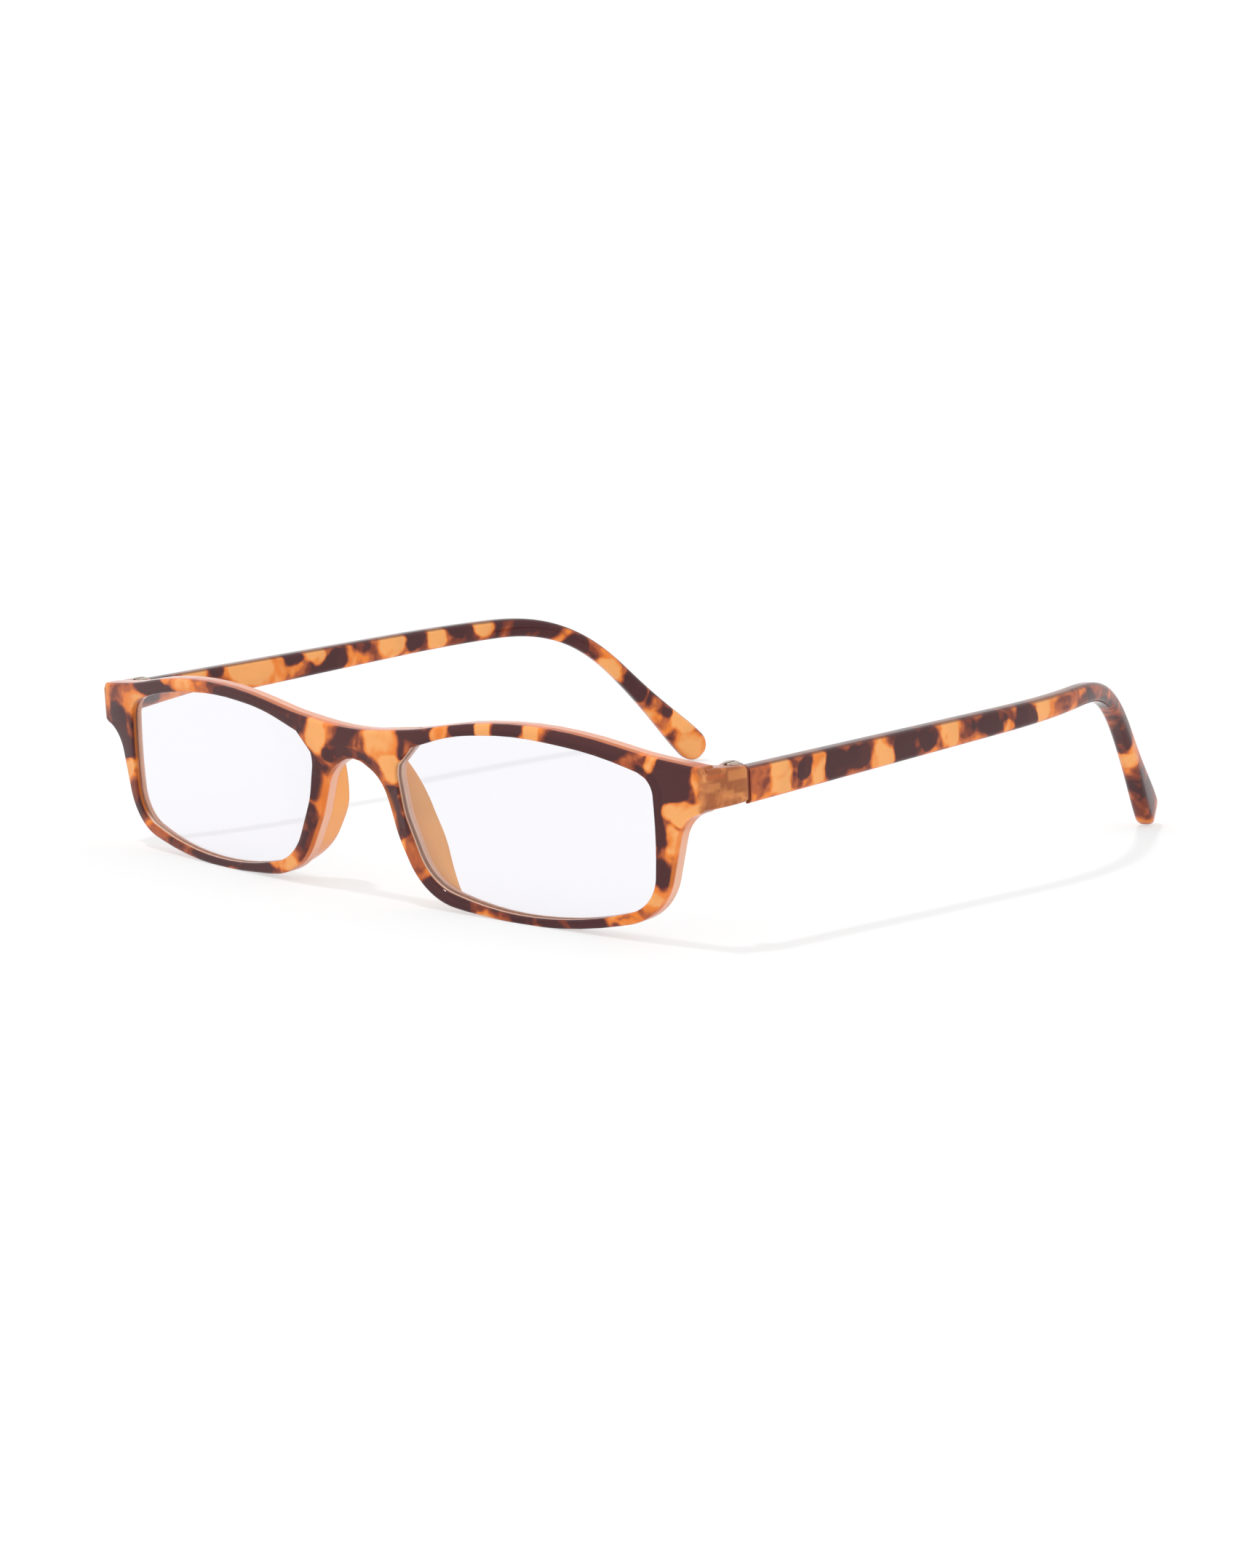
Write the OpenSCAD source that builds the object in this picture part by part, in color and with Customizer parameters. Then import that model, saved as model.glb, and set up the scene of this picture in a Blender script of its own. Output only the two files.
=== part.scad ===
// Slim rectangular reading glasses in tortoise plastic, resting with the temples open.
// In the design frame the front stands upright, y runs back from the bridge and z up from mid lens.
// resting() then stands the glasses on the rims and the temple tips, with z = 0 underneath.

/* [Front] */
// Distance between the two lens openings across the bridge
bridge_gap = 18.8; // [16:0.2:22]
// Width of one lens opening
open_w = 48.8; // [45:0.2:52]
// Height of one lens opening
open_h = 27; // [24:0.2:31]
// Width of the front beside an opening, out to the corner
end_w = 8.3; // [7.5:0.1:10]
// Thickness of the front
front_t = 3.3; // [3.1:0.1:4]
// Plan radius of the front face
front_r = 367; // [250:1:600]
// Rim width above the opening
rim_top = 1.9; // [1.5:0.1:3.5]
// Rim width below the opening
rim_bottom = 1.4; // [1.2:0.1:3]
// Rim width beside the nose
rim_nose = 2.9; // [2.5:0.1:3.5]
// Rim width at the outer side
rim_side = 2.5; // [2:0.1:3]
// Chamfer on the front's outer edges
edge_cut = 0.5; // [0.2:0.05:0.8]
// Bevel that leads from the face into a lens opening
open_cut = 0.35; // [0.2:0.05:0.6]

/* [Bridge] */
// Height of the nose arch above mid lens
arch_z = 6.5; // [5:0.1:8]
// Height of the bridge between the nose arch and the top edge
bridge_h = 4.6; // [3.5:0.1:6]
// Distance from the arch up to the edge of the hollow round it
hollow_in = 2.3; // [1.5:0.1:3]
// Radius of the hollow round the nose arch
hollow_r = 12.3; // [11.5:0.1:13]
// Slope of the hollow
hollow_slope = 9; // [5:1:12]

/* [Nose pads] */
// Thickness of a moulded pad
pad_t = 1.7; // [1.2:0.1:2.2]
// Reach of a pad behind the front face
pad_reach = 8.2; // [6:0.1:11]
// Angle by which the pads open towards the wearer
pad_flare = 11; // [0:1:15]
// Step from the rim's wall beside the nose back to a pad
pad_step = 0.25; // [0.2:0.05:0.4]
// Rounding of a pad's rear edge
pad_edge = 0.4; // [0.2:0.05:0.45]

/* [Lenses] */
// Depth of the groove that holds a lens
groove_d = 0.7; // [0.5:0.05:0.9]
// Radius of the rounded front surface of a lens, whose back is flat
lens_r = 250; // [230:5:400]
// Depth of a lens front behind the front face, at mid lens
lens_in = 0.5; // [0.4:0.05:0.6]
// Thickness of a lens in its middle
lens_t = 2.2; // [2:0.05:2.3]
// Room round a lens in its groove
lens_fit = 0.04; // [0.02:0.01:0.08]

/* [End pieces] */
// Distance by which the sides widen from the front corner to the joint
side_out = 2; // [0.5:0.1:4]
// Distance from the bridge face back to the joint
joint_y = 13.7; // [12.5:0.1:16]
// Height of the hinge centre above mid lens
hinge_z = 7.8; // [7:0.1:9]
// Height of the end piece at the front corner
corner_h = 6.45; // [6:0.05:7.5]
// Height of the end piece at the joint
joint_h = 5.3; // [5:0.1:6]
// Gap between end piece and temple
joint_gap = 0.25; // [0.2:0.05:0.4]
// Distance from the bridge face to the front end of the fork's pocket
pocket_y = 8.4; // [8:0.1:10]

/* [Hinge] */
// Radius of the fork's ears and of the temple's tongue
ear_r = 1.8; // [1.6:0.05:1.9]
// Thickness of the tongue
tongue_h = 1.7; // [1.4:0.1:2]
// Room above and below the tongue
tongue_room = 0.1; // [0.05:0.05:0.2]
// Room round the ears and the tongue in plan
ear_room = 0.25; // [0.2:0.05:0.35]
// Radius of the screw's shank
screw_r = 0.7; // [0.5:0.05:0.8]
// Running clearance of the tongue's bore round the shank
bore_fit = 0.05; // [0.03:0.01:0.08]
// Clearance of the ears' bores round the shank
seat_fit = 0.02; // [0.01:0.01:0.04]
// Radius of the screw's head
head_r = 1.2; // [1:0.05:1.35]
// Height of the screw's head
head_h = 0.7; // [0.5:0.05:0.9]
// Depth of the recess that takes the head
head_sunk = 0.4; // [0.3:0.05:0.6]
// Width of the slot in the screw's head
slot_w = 0.35; // [0.25:0.05:0.5]

/* [Temples] */
// Length of a temple along its middle line
temple_l = 136.6; // [125:0.1:150]
// Height of a temple at the joint
height_joint = 5.4; // [5:0.1:6]
// Height of a temple at its slimmest place
height_waist = 3; // [2.8:0.1:4.5]
// Height of a temple near its tip
height_tip = 5.8; // [4.5:0.1:7]
// Distance of the temple's middle below the hinge centre at the joint
temple_drop = 0.35; // [0:0.05:0.5]
// Thickness of a temple at the joint
thick_joint = 2.9; // [2.7:0.1:3.4]
// Thickness of a temple at its tip
thick_tip = 3.2; // [2.2:0.1:3.2]
// Edge radius of the temples and the end pieces at the joint
edge_joint = 0.8; // [0.5:0.05:1]
// Edge radius of the temples at the tip
edge_tip = 1.2; // [0.8:0.05:1.2]
// Angle by which the straight part of a temple opens outwards
splay = 0.6; // [0:0.1:3]
// Angle by which the straight part of a temple falls
fall = 1; // [0:0.1:3]
// Length along the temple to the slimmest place
waist_at = 100; // [85:0.5:100]
// Length along the temple at which it starts to lean in
lean_from = 56; // [40:1:60]
// Length over which it leans in
lean_l = 44; // [30:1:50]
// Angle by which the ear part leans in
lean = 20.7; // [10:0.1:25]
// Length along the temple at which the ear bend starts
bend_from = 80.5; // [72:0.5:90]
// Length of the ear bend
bend_l = 34.5; // [28:1:42]
// Angle of the ear bend
bend = 46.3; // [35:0.1:55]

/* [Hidden] */

// Largest angle between two points of an outline's arc
arc_angle = 14;
// Steps of a section's corner, of the end piece and of the temple's sweep
edge_steps = 3;
block_steps = 6;
sweep_steps = 34;
tip_steps = 6;
// Sides of bores and of the hollow round the arch
bore_fn = 48;
hollow_fn = 48;
// Rings of points on the rounded front of a lens
lens_rings = 4;
// Smallest distance or angle that counts, and least angle between two sections of a rim
tiny = 0.001;
least_turn = 0.05;
// Distance by which a cutting body passes what it cuts
past = 1;
// Depth at which an end piece starts inside the corner of the rim
block_in = 0.15;
// Depth of a pad's root inside the rim, behind the groove
pad_root = 1.15;
// Length of a rounded tip as a share of its height, the angle at which its rounding stops, and the
// share by which its thickness keeps up with its height
tip_share = 0.35;
tip_turn = 84;
tip_full = 0.25;
// Distance behind the front face at which an end piece starts, and the width that it adds there
block_y = 1.1;
block_w = end_w - thick_joint - 1.2;
// Distance of the hinge's axis in front of the joint
axis_in = 0.45;
// Length by which the tongue's root enters the temple, and of the bore below a screw's end
root_l = 0.6;
screw_in = 0.3;
// Width of the pocket in front of the tongue
pocket_w = 2;
// Small step that keeps two joined bodies from sharing a surface
step = 0.02;

tortoise = [0.62, 0.33, 0.17];
clear = [0.93, 0.95, 0.98, 0.5];
metal = [0.75, 0.75, 0.77];

eye_x = (bridge_gap + open_w) / 2;
eye_z = -0.5;
open_top = eye_z + open_h / 2;
open_low = eye_z - open_h / 2;
open_out = eye_x + open_w / 2;
front_half = open_out + end_w;
side_x = front_half + side_out;
corner_top = hinge_z + corner_h / 2;
corner_low = hinge_z - corner_h / 2;
joint_top = hinge_z + joint_h / 2;
joint_low = hinge_z - joint_h / 2;
axis_x = side_x - thick_joint;
axis_y = joint_y - axis_in;
slot_low = hinge_z - tongue_h / 2 - tongue_room;
slot_high = hinge_z + tongue_h / 2 + tongue_room;
head_z = joint_top - head_sunk;

function unit(v) = v / norm(v);
function turn2(a, b) = a[0] * b[1] - a[1] * b[0];
function ease(t) = let (u = min(1, max(0, t))) u * u * (3 - 2 * u);
function mix(a, b, t) = a + (b - a) * t;
function flat2(p) = [p[0], p[1]];

// Arc that rounds corner b between a and c, with an even number of steps
function corner(a, b, c, r) =
    let (u = unit(a - b), v = unit(c - b), half = acos(u * v) / 2)
    let (mid = b + unit(u + v) * r / sin(half), arm = b + u * r / tan(half) - mid)
    let (whole = (2 * half - 180) * sign(turn2(u, v)), n = 2 * ceil(abs(whole) / arc_angle / 2))
    [for (k = [0 : n]) let (t = whole * k / n)
        mid + [arm[0] * cos(t) - arm[1] * sin(t), arm[0] * sin(t) + arm[1] * cos(t)]];

// Closed outline through corners [x, z, radius]
function rounded(list) =
    let (n = len(list))
    [for (i = [0 : n - 1])
        let (a = flat2(list[(i + n - 1) % n]), b = flat2(list[i]), c = flat2(list[(i + 1) % n]))
        each corner(a, b, c, list[i][2])];

// Corners of the outline that lies d outside a clockwise one
function grown(list, d) =
    let (n = len(list))
    [for (i = [0 : n - 1])
        let (a = flat2(list[(i + n - 1) % n]), b = flat2(list[i]), c = flat2(list[(i + 1) % n]))
        let (u = unit(a - b), v = unit(c - b), side = sign(turn2(u, v)))
        let (half = acos(u * v) / 2, p = b - unit(u + v) * side * d / sin(half))
        [p[0], p[1], max(0.1, list[i][2] + side * d)]];

// Corners of the right lens opening, clockwise from the upper nose side: shares of its half
// width and half height, and the radius of each corner
EYE = [[-1.03, 0.64, 4.7], [-0.53, 0.93, 40], [-0.03, 1.02, 60], [0.59, 0.91, 60],
       [0.98, 0.70, 3.6], [1.00, 0.01, 80], [0.97, -0.70, 6.4], [0.52, -0.95, 60],
       [-0.18, -1.04, 60], [-0.77, -0.79, 9.6], [-0.96, -0.03, 13.3]];
eye = [for (p = EYE) [eye_x + p[0] * open_w / 2, eye_z + p[1] * open_h / 2, p[2]]];

// Corners of the front's outer edge on the right, from the top of the bridge clockwise to the
// nose arch, each set from the opening, the end piece or the arch beside it
outer = [
    [0, arch_z + bridge_h - 0.3, 60],
    [bridge_gap / 2 + 4.1, open_top - 0.7, 60],
    [eye_x + 2.3, open_top + rim_top + 1.6, 81],
    [front_half - 10.5, corner_top + 1.25, 60],
    [front_half, corner_top, 0.8],
    [front_half, corner_low, 0.6],
    [open_out + rim_side + 1.6, corner_low - 0.8, 5.8],
    [open_out + rim_side - 2.1, open_low + 2.2, 9.5],
    [eye_x + 6.5, open_low - rim_bottom - 0.6, 76],
    [eye_x - 11.6, open_low - rim_bottom + 0.7, 30],
    [bridge_gap / 2 - rim_nose + 7.6, open_low + 0.3, 11.9],
    [bridge_gap / 2 - rim_nose + 2.1, -3.6, 12.6],
    [bridge_gap / 2 - rim_nose - 0.5, arch_z - 2.5, 6.9],
    [0, arch_z + 0.6, 5.2]
];
last = len(outer) - 1;
whole_outer = concat(outer, [for (i = [last - 1 : -1 : 1]) [-outer[i][0], outer[i][1], outer[i][2]]]);

// Depth of the curved front face behind the bridge at x
function face_y(x) = front_r - sqrt(front_r * front_r - x * x);
// Outline laid at a depth behind the front face
function laid(outline, depth) = [for (p = outline) [p[0], face_y(p[0]) + depth, p[1]]];
// The half of a whole outline that lies right of the bridge's middle
function right_half(outline) = [for (p = outline) if (p[0] > -tiny) [max(0, p[0]), p[1]]];

// Closed body through loops with equal numbers of points, its ends closed by fans
module loft(loops) {
    n = len(loops[0]);
    m = len(loops);
    sides = [for (k = [0 : m - 2], i = [0 : n - 1], t = [0, 1])
        let (a = k * n + i, b = k * n + (i + 1) % n)
        t == 0 ? [a, b, b + n] : [a, b + n, a + n]];
    first = [for (i = [0 : n - 1]) [m * n, (i + 1) % n, i]];
    final = [for (i = [0 : n - 1]) [m * n + 1, (m - 1) * n + i, (m - 1) * n + (i + 1) % n]];
    hubs = [for (l = [loops[0], loops[m - 1]]) let (w = [for (p = l) 1]) (w * l) / n];
    polyhedron(concat([for (l = loops, p = l) p], hubs), concat(sides, first, final));
}

module both_sides() {
    children();
    mirror([1, 0, 0]) children();
}

// Depth behind the bridge of a lens's flat back and of its rounded front, at [x, z]
function tangent_y(x) = face_y(eye_x) + (x - eye_x) * tan(asin(eye_x / front_r));
function back_y(p) = tangent_y(p[0]) + lens_in + lens_t;
function dome_y(p) =
    let (d = p - [eye_x, eye_z])
    tangent_y(p[0]) + lens_in + lens_r - sqrt(lens_r * lens_r - d * d);

// Bearing of a point about mid lens, clockwise from the middle of the bridge's top edge
function compass(p) = atan2(p[1] - eye_z, p[0] - eye_x);
function bearing(p, from) = let (a = compass(from) - compass(p)) a < -tiny ? a + 360 : a;
// Place on an outline that a ray at a bearing meets: a point's number, and a share of the next side
function meets(outline, turns, b) =
    let (n = len(outline), passed = [for (i = [0 : n - 1]) if (turns[i] <= b + tiny) i])
    let (k = len(passed) > 0 ? max(passed) : n - 1, b0 = k < n - 1 || turns[k] <= b + tiny ? b : b + 360)
    let (next = k < n - 1 ? turns[k + 1] : turns[0] + 360, hub = [eye_x, eye_z])
    let (s = sin(b0 - turns[k]) * norm(outline[k] - hub))
    k + s / (s + sin(next - b0) * norm(outline[(k + 1) % n] - hub));
function at(outline, place) =
    let (k = floor(place), n = len(outline))
    mix(outline[k % n], outline[(k + 1) % n], place - k);
function sorted(list) = len(list) < 2 ? list :
    let (p = list[floor(len(list) / 2)])
    concat(sorted([for (a = list) if (a < p) a]), [p], sorted([for (a = list) if (a > p) a]));
// The outline turned round so that the point of least bearing comes first
function begun(outline, from) =
    let (b = [for (p = outline) bearing(p, from)], k = search(min(b), b)[0], n = len(outline))
    [for (i = [0 : n - 1]) (i + k) % n];

edge_line = right_half(rounded(whole_outer));
face_line = right_half(rounded(grown(whole_outer, -edge_cut)));
start = edge_line[0];
order = begun(rounded(eye), start);
function in_order(outline) = [for (i = order) outline[i]];
eye_line = in_order(rounded(eye));
bevel_line = in_order(rounded(grown(eye, open_cut)));
groove_line = in_order(rounded(grown(eye, groove_d)));
edge_turns = [for (p = edge_line) bearing(p, start)];
eye_turns = [for (p = eye_line) bearing(p, start)];

// Bearings of the rim's sections: through every point of both outlines
end_turn = edge_turns[len(edge_turns) - 1];
inner_turns = sorted([for (b = concat(edge_turns, eye_turns))
    if (b > least_turn && b < end_turn - least_turn) b]);
turns = concat([0], [for (i = [0 : len(inner_turns) - 1])
    if (i == 0 || inner_turns[i] > inner_turns[i - 1] + least_turn) inner_turns[i]], [end_turn]);

// Section of the right rim at a bearing: face, outer wall, back, groove and bevel
function rim_section(b) =
    let (o = meets(edge_line, edge_turns, b), e = meets(eye_line, eye_turns, b))
    let (wall = at(edge_line, o), face = at(face_line, o))
    let (lip = at(eye_line, e), bevel = at(bevel_line, e), deep = at(groove_line, e))
    let (front = dome_y(deep) - lens_fit, rear = back_y(deep) + lens_fit)
    [[face[0], face_y(face[0]), face[1]],
     [wall[0], face_y(wall[0]) + edge_cut, wall[1]],
     [wall[0], face_y(wall[0]) + front_t - edge_cut, wall[1]],
     [face[0], face_y(face[0]) + front_t, face[1]],
     [lip[0], face_y(lip[0]) + front_t, lip[1]],
     [lip[0], rear, lip[1]],
     [deep[0], rear, deep[1]],
     [deep[0], front, deep[1]],
     [lip[0], dome_y(lip) - lens_fit, lip[1]],
     [lip[0], face_y(lip[0]) + open_cut, lip[1]],
     [bevel[0], face_y(bevel[0]), bevel[1]]];

// Both rims and the bridge: sections joined round each lens and across the middle
module rims() {
    sections = [for (b = turns) rim_section(b)];
    m = len(sections);
    n = len(sections[0]);
    faces = [for (k = [0 : m - 1], i = [0 : n - 1], t = [0, 1])
        if (k < m - 1 || i > 2)
            let (a = k * n + i, b = k * n + (i + 1) % n)
            let (c = (k + 1) % m * n + (i + 1) % n, d = (k + 1) % m * n + i)
            t == 0 ? [a, b, c] : [a, c, d]];
    right = [for (s = sections, p = s) p];
    left = [for (p = right) [p[0] == 0 ? 0 : -p[0], p[1], p[2]]];
    polyhedron(concat(right, left),
        concat(faces, [for (f = faces) [for (i = [2 : -1 : 0]) f[i] + m * n]]));
}

// Left lens, on the right of the design frame: rings of its dome and its flat back
module lens_body() {
    edge = rounded(grown(eye, groove_d - lens_fit));
    domes = [for (share = [lens_rings : -1 : 1]) [for (p = edge)
        let (q = mix([eye_x, eye_z], p, share / lens_rings)) [q[0], dome_y(q), q[1]]]];
    loft(concat([[for (p = edge) [p[0], back_y(p), p[1]]]], domes));
}

// Nose-side line of the right pad, as points [x, z] from behind the bridge down to the rim
pad_line =
    let (top = [bridge_gap / 2 - rim_nose - 0.6, arch_z + 2.2])
    let (mid = flat2(outer[last - 2]), low = flat2(outer[last - 3]))
    let (bow = corner(top, mid, low, outer[last - 2][2]))
    concat([for (k = [0 : 3]) mix(top, bow[0], k / 4)], bow,
           corner(mid, low, flat2(outer[last - 4]), outer[last - 3][2]));
// Length of the line up to its point k
function along(line, k) = k == 0 ? 0 : along(line, k - 1) + norm(line[k] - line[k - 1]);

// Section of the pad at point k of its line: out of the rim's back, round the rear edge and back
function pad_section(k) =
    let (n = len(pad_line), u = 2 * along(pad_line, k) / along(pad_line, n - 1) - 1)
    let (a = pad_line[max(0, k - 1)], b = pad_line[min(n - 1, k + 1)], d = unit(b - a))
    let (out = [-d[1], d[0]], p = pad_line[k], sunk = front_t - step)
    let (rear = max(sunk, mix(pad_reach, sunk, u * u) - face_y(p[0]) * (1 - u * u)))
    let (lean = tan(pad_flare) * max(0, rear - front_t), w = pad_t * sqrt(1 - 0.7 * u * u))
    [for (q = [[pad_edge, front_t - pad_root], [0, front_t - pad_root + pad_edge],
               [lean, rear - pad_edge], [lean + pad_edge, rear],
               [lean + w - pad_edge, rear], [lean + w, rear - pad_edge],
               [w, front_t - pad_root + pad_edge], [w - pad_edge, front_t - pad_root]])
        let (d = q[0] + pad_step, x = p[0] + out[0] * d) [x, face_y(x) + q[1], p[1] + out[1] * d]];

// Right nose pad, moulded on behind the rim
module pad() {
    loft([for (k = [len(pad_line) - 1 : -1 : 0]) pad_section(k)]);
}

// Rounded rectangle about the middle of a section, as points [across, up]
function ring(w, h, r) =
    [for (q = [0 : 3], k = [0 : edge_steps])
        let (a = 90 * (q + k / edge_steps))
        [(q == 0 || q == 3 ? 1 : -1) * (w / 2 - r) + r * cos(a),
         (q < 2 ? 1 : -1) * (h / 2 - r) + r * sin(a)]];

// Right end piece, from inside the front's corner back to the joint
module end_piece() {
    from_y = face_y(front_half) + block_y;
    loft([for (k = [0 : block_steps])
        let (t = k / block_steps, y = mix(from_y, joint_y, t))
        let (x = mix(front_half - block_in, side_x, 1 - pow(1 - t, 1.5)))
        let (w = thick_joint + block_w * pow(1 - t, 2), h = mix(corner_h - 2 * block_in, joint_h, t))
        [for (p = ring(w, h, mix(edge_cut, edge_joint, t))) [x - w / 2 + p[0], y, hinge_z + p[1]]]]);
}

// Upright cylinder about the right hinge's axis
module on_axis(r, low, high) {
    translate([axis_x, axis_y, low]) cylinder(h = high - low, r = r, $fn = bore_fn);
}

// What is cut away for the tongue and the screw's head
module fork_cuts() {
    on_axis(ear_r + ear_room, slot_low, slot_high);
    translate([axis_x - pocket_w / 2, pocket_y, slot_low])
        cube([pocket_w, axis_y - pocket_y, slot_high - slot_low]);
    on_axis(head_r + seat_fit, head_z, joint_top + past);
}

// Hollow in the face round the nose arch
module hollow() {
    rise = tan(hollow_slope);
    translate([0, -past, arch_z + hollow_in - hollow_r]) rotate([-90, 0, 0])
        cylinder(h = past + hollow_r * rise, r1 = hollow_r + past / rise, r2 = 0, $fn = hollow_fn);
}

// The front as it is moulded, with the forks of its hinges
module moulding() {
    difference() {
        union() {
            rims();
            both_sides() {
                end_piece();
                pad();
                on_axis(ear_r, joint_low + step, joint_top - step);
            }
        }
        both_sides() fork_cuts();
        hollow();
    }
}

module front_frame() {
    color(tortoise) resting() difference() {
        resize([2 * side_x, 0, 0]) moulding();
        both_sides() on_axis(screw_r + seat_fit, joint_low - past, joint_top + past);
    }
}

module lens_right() {
    color(clear) resting() mirror([1, 0, 0]) lens_body();
}

module lens_left() {
    color(clear) resting() lens_body();
}

// Heading and fall of the temple at length s, and its size there
function heading(s) = splay - lean * ease((s - lean_from) / lean_l);
function slope(s) = -fall - bend * ease((s - bend_from) / bend_l);
function height(s) = s < waist_at
    ? mix(height_joint, height_waist, s / waist_at)
    : height_waist + (height_tip - height_waist) * pow((s - waist_at) / (temple_l - waist_at), 3);
function thickness(s) = mix(thick_joint, thick_tip, s / temple_l);
function forward(s) = [cos(slope(s)) * sin(heading(s)), cos(slope(s)) * cos(heading(s)), sin(slope(s))];

// Lengths of the temple's sections, and the share of full size each has where the tip rounds off
tip_l = tip_share * height_tip;
lengths = concat([for (k = [0 : sweep_steps]) k / sweep_steps * (temple_l - tip_l)],
                 [for (k = [1 : tip_steps]) temple_l - tip_l + tip_l * sin(tip_turn * k / tip_steps)]);
shares = concat([for (k = [0 : sweep_steps]) 1], [for (k = [1 : tip_steps]) cos(tip_turn * k / tip_steps)]);

// Middle line of the left temple, and its rings
temple_line = [for (k = 0, p = [side_x - thick_joint / 2, joint_y, hinge_z - temple_drop];
    k < len(lengths);
    k = k + 1, p = k < len(lengths)
        ? p + (lengths[k] - lengths[k - 1]) * forward((lengths[k] + lengths[k - 1]) / 2) : p) p];
temple_rings = [for (k = [0 : len(lengths) - 1])
    let (s = lengths[k], across = [cos(heading(s)), -sin(heading(s)), 0], up = cross(across, forward(s)))
    let (w = thickness(s), h = height(s), f = shares[k])
    [for (p = ring(w, h, mix(edge_joint, edge_tip, s / temple_l)))
        temple_line[k] + across * p[0] * mix(f, 1, tip_full) * f + up * p[1] * f]];

// Points of the rims and of the temple that may touch the table, and of the face's edge
rim_points = [for (d = [edge_cut, front_t - edge_cut]) each laid(rounded(whole_outer), d)];
face_points = laid(rounded(grown(whole_outer, -edge_cut)), 0);
temple_points = [for (r = temple_rings) each r];

function rise(points, a) = [for (p = points) p[1] * sin(a) + p[2] * cos(a)];
function reach(points, a) = [for (p = points) p[1] * cos(a) - p[2] * sin(a)];
// Tilt at which rims and temple tips stand level, closed in on in a few steps
function levelled(a, steps) = steps == 0 ? a :
    levelled(a + atan((min(rise(rim_points, a)) - min(rise(temple_points, a))) / temple_l), steps - 1);
tilt = levelled(0, 8);
lift = -min(rise(rim_points, tilt));
middle_y = (min(reach(face_points, tilt)) + max(reach(temple_points, tilt))) / 2;

// Stands the glasses on the table, their footprint centred on the origin
module resting() {
    translate([0, -middle_y, lift]) rotate([tilt, 0, 0]) children();
}

// Left temple with the tongue of its hinge
module temple_body() {
    difference() {
        loft(temple_rings);
        translate([axis_x - side_x / 2, joint_y - past, 0]) cube([side_x, past + joint_gap, 2 * side_x]);
        on_axis(ear_r + ear_room, joint_low - past, joint_top + past);
    }
    on_axis(ear_r, hinge_z - tongue_h / 2, hinge_z + tongue_h / 2);
    translate([axis_x, axis_y, hinge_z - tongue_h / 2])
        cube([ear_r, ear_r + ear_room + root_l, tongue_h]);
}

module temple_left() {
    color(tortoise) resting() difference() {
        temple_body();
        on_axis(screw_r + bore_fit, joint_low - past, joint_top + past);
    }
}

module temple_right() {
    color(tortoise) resting() mirror([1, 0, 0]) difference() {
        temple_body();
        on_axis(screw_r + bore_fit, joint_low - past, joint_top + past);
    }
}

// Slotted screw that pins the left temple's tongue between the ears
module screw_body() {
    difference() {
        union() {
            on_axis(screw_r, joint_low + screw_in, head_z + head_h / 2);
            on_axis(head_r, head_z, head_z + head_h);
        }
        translate([axis_x - slot_w / 2, axis_y - 2 * head_r, head_z + head_h / 2])
            cube([slot_w, 4 * head_r, head_h]);
    }
}

module hinge_screw_left() {
    color(metal) resting() screw_body();
}

module hinge_screw_right() {
    color(metal) resting() mirror([1, 0, 0]) screw_body();
}

front_frame();
lens_left();
lens_right();
temple_left();
temple_right();
hinge_screw_left();
hinge_screw_right();
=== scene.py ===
"""Slim tortoise reading glasses at rest with the temples open. Lengths are in millimetres until built()."""
import math

import bmesh
import bpy
import numpy as np
from mathutils import Matrix, Vector


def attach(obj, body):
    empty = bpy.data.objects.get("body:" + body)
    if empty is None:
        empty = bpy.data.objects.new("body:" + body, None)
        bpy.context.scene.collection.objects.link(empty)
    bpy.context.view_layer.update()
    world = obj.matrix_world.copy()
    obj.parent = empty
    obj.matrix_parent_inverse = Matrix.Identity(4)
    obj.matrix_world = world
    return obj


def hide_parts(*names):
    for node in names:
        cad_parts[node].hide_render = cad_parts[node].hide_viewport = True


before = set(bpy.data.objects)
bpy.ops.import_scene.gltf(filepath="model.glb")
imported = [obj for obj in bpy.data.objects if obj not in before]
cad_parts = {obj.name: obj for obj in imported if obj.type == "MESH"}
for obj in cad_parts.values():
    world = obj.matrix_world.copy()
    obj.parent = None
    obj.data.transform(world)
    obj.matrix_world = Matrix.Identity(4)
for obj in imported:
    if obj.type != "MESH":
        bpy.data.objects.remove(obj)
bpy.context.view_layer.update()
MM = 0.001

# Sizes, as the CAD model has them: openings, front and rims
BRIDGE_GAP, OPEN_W, OPEN_H, END_W = 18.8, 48.8, 27.0, 8.3
FRONT_T, FRONT_R = 3.3, 367.0
RIM_TOP, RIM_BOTTOM, RIM_NOSE, RIM_SIDE = 1.9, 1.4, 2.9, 2.5
EDGE_CUT, OPEN_CUT, BACK_CUT = 0.5, 0.35, 0.2
# Arch of the bridge, the hollow round it, and the nose fins behind it
ARCH_Z, BRIDGE_H, HOLLOW_IN, HOLLOW_R, HOLLOW_SLOPE = 6.5, 4.6, 2.3, 12.3, 9.0
PAD_T, PAD_REACH, PAD_FLARE, PAD_STEP, PAD_EDGE, PAD_ROOT = 1.7, 8.2, 11.0, 0.25, 0.4, 1.15
PAD_TOP_IN, PAD_TOP_UP, PAD_THINNING, PAD_ROUND = 0.6, 2.2, 0.7, 1.6
# Lens and its groove
GROOVE_D, LENS_R, LENS_IN, LENS_T, LENS_FIT = 0.7, 250.0, 0.5, 2.2, 0.04
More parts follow.
